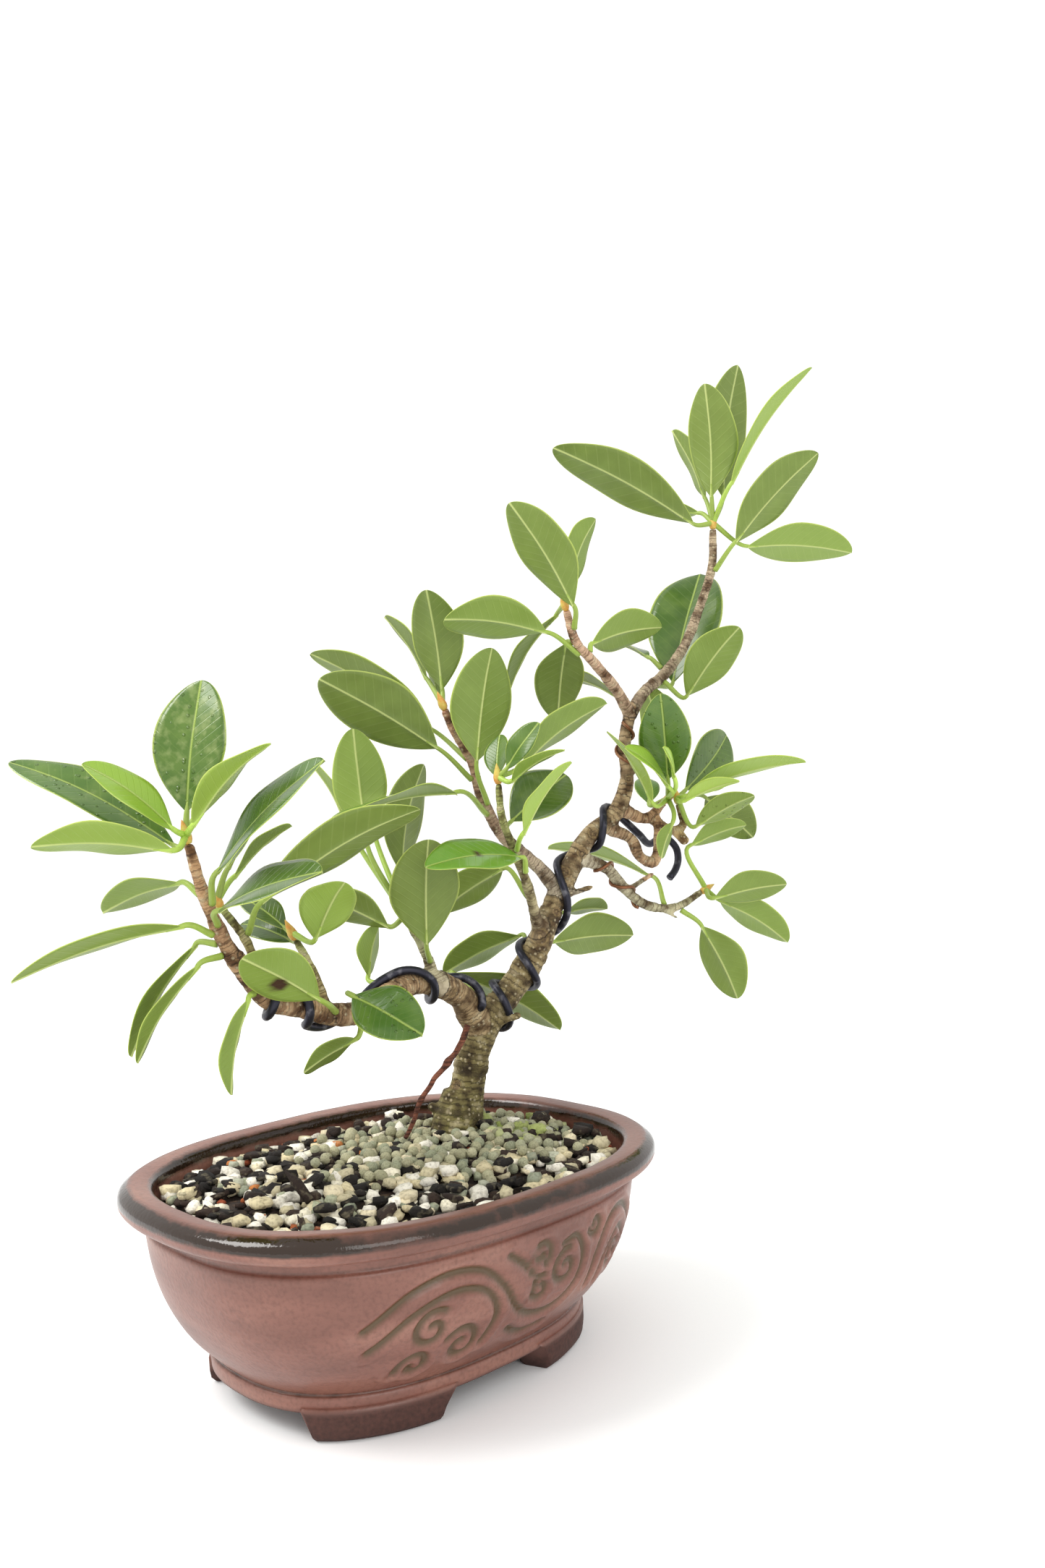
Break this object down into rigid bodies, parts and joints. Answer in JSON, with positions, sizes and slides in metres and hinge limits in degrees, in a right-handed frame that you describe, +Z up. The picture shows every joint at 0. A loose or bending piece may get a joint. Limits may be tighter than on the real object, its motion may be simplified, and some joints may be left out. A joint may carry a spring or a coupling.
{
  "type": "potted bonsai tree",
  "caption": "Small leaning bonsai tree with glossy oval leaves and coiled training wire, growing in a shallow oval footed stoneware pot topped with gravel; ornamental live plant.",
  "frame": {"origin": "middle of the underside of the whole object's box, on the surface the pot stands on", "axes": "+Z up; +X along the pot's long side, towards the end that the trunk leans over; the pot's front long side faces -Y"},
  "size_m": [0.3752, 0.164, 0.4109],
  "materials": {
    "glaze": "satin reddish-brown glaze",
    "screen": "matte black plastic",
    "bark": "rough live bark",
    "dark_wire": "dark anodised",
    "brown_wire": "brown anodised",
    "soil": "damp dark bark and peat mix",
    "gravel": "rough mixed grit",
    "mature_leaf": "waxy satin leaf",
    "young_leaf": "waxy satin young leaf"
  },
  "bodies": {
    "root": {"air_root": "bark", "drain_screen_left": "screen", "drain_screen_right": "screen", "gravel": "gravel", "leaf_apex_lower": "mature_leaf", "leaf_apex_narrow": "mature_leaf", "leaf_apex_right": "mature_leaf", "leaf_apex_round": "mature_leaf", "leaf_front_dark": "mature_leaf", "leaf_front_level": "mature_leaf", "leaf_front_low": "mature_leaf", "leaf_front_pale": "mature_leaf", "leaf_left_droop_back": "mature_leaf", "leaf_left_droop_front": "mature_leaf", "leaf_left_droop_low": "mature_leaf", "leaf_left_front_grey": "mature_leaf", "leaf_left_grey": "mature_leaf", "leaf_left_long": "mature_leaf", "leaf_left_pale": "mature_leaf", "leaf_limb_gloss": "mature_leaf", "leaf_limb_holed": "mature_leaf", "leaf_limb_low": "mature_leaf", "leaf_long_back": "mature_leaf", "leaf_long_broad": "mature_leaf", "leaf_long_level": "mature_leaf", "leaf_long_tall": "mature_leaf", "leaf_low_drooping": "mature_leaf", "leaf_low_long_back": "mature_leaf", "leaf_mid_big": "mature_leaf", "leaf_mid_dark_back": "mature_leaf", "leaf_mid_dark_front": "mature_leaf", "leaf_mid_round": "mature_leaf", "leaf_second_hanging": "mature_leaf", "leaf_second_left": "mature_leaf", "leaf_second_right": "mature_leaf", "leaf_second_thin": "mature_leaf", "leaf_second_up": "mature_leaf", "leaf_trunk_back_left": "mature_leaf", "leaf_trunk_back_right": "mature_leaf", "leaf_trunk_back_small": "mature_leaf", "leaf_trunk_low_right": "mature_leaf", "pot": "glaze", "soil": "soil", "thin_wire_lower": "brown_wire", "thin_wire_upper": "brown_wire", "training_wire": "dark_wire", "tree": "bark", "whorl_apexTwig": "young_leaf", "whorl_budShoot": "young_leaf", "whorl_frontTwig": "young_leaf", "whorl_leftBackShoot": "young_leaf", "whorl_leftShoot": "young_leaf", "whorl_longTwig": "young_leaf", "whorl_lowTwig": "young_leaf", "whorl_midShoot": "young_leaf", "whorl_rightStub": "young_leaf", "whorl_rightTwig": "young_leaf", "whorl_secondTwig": "young_leaf"}
  },
  "joints": []
}
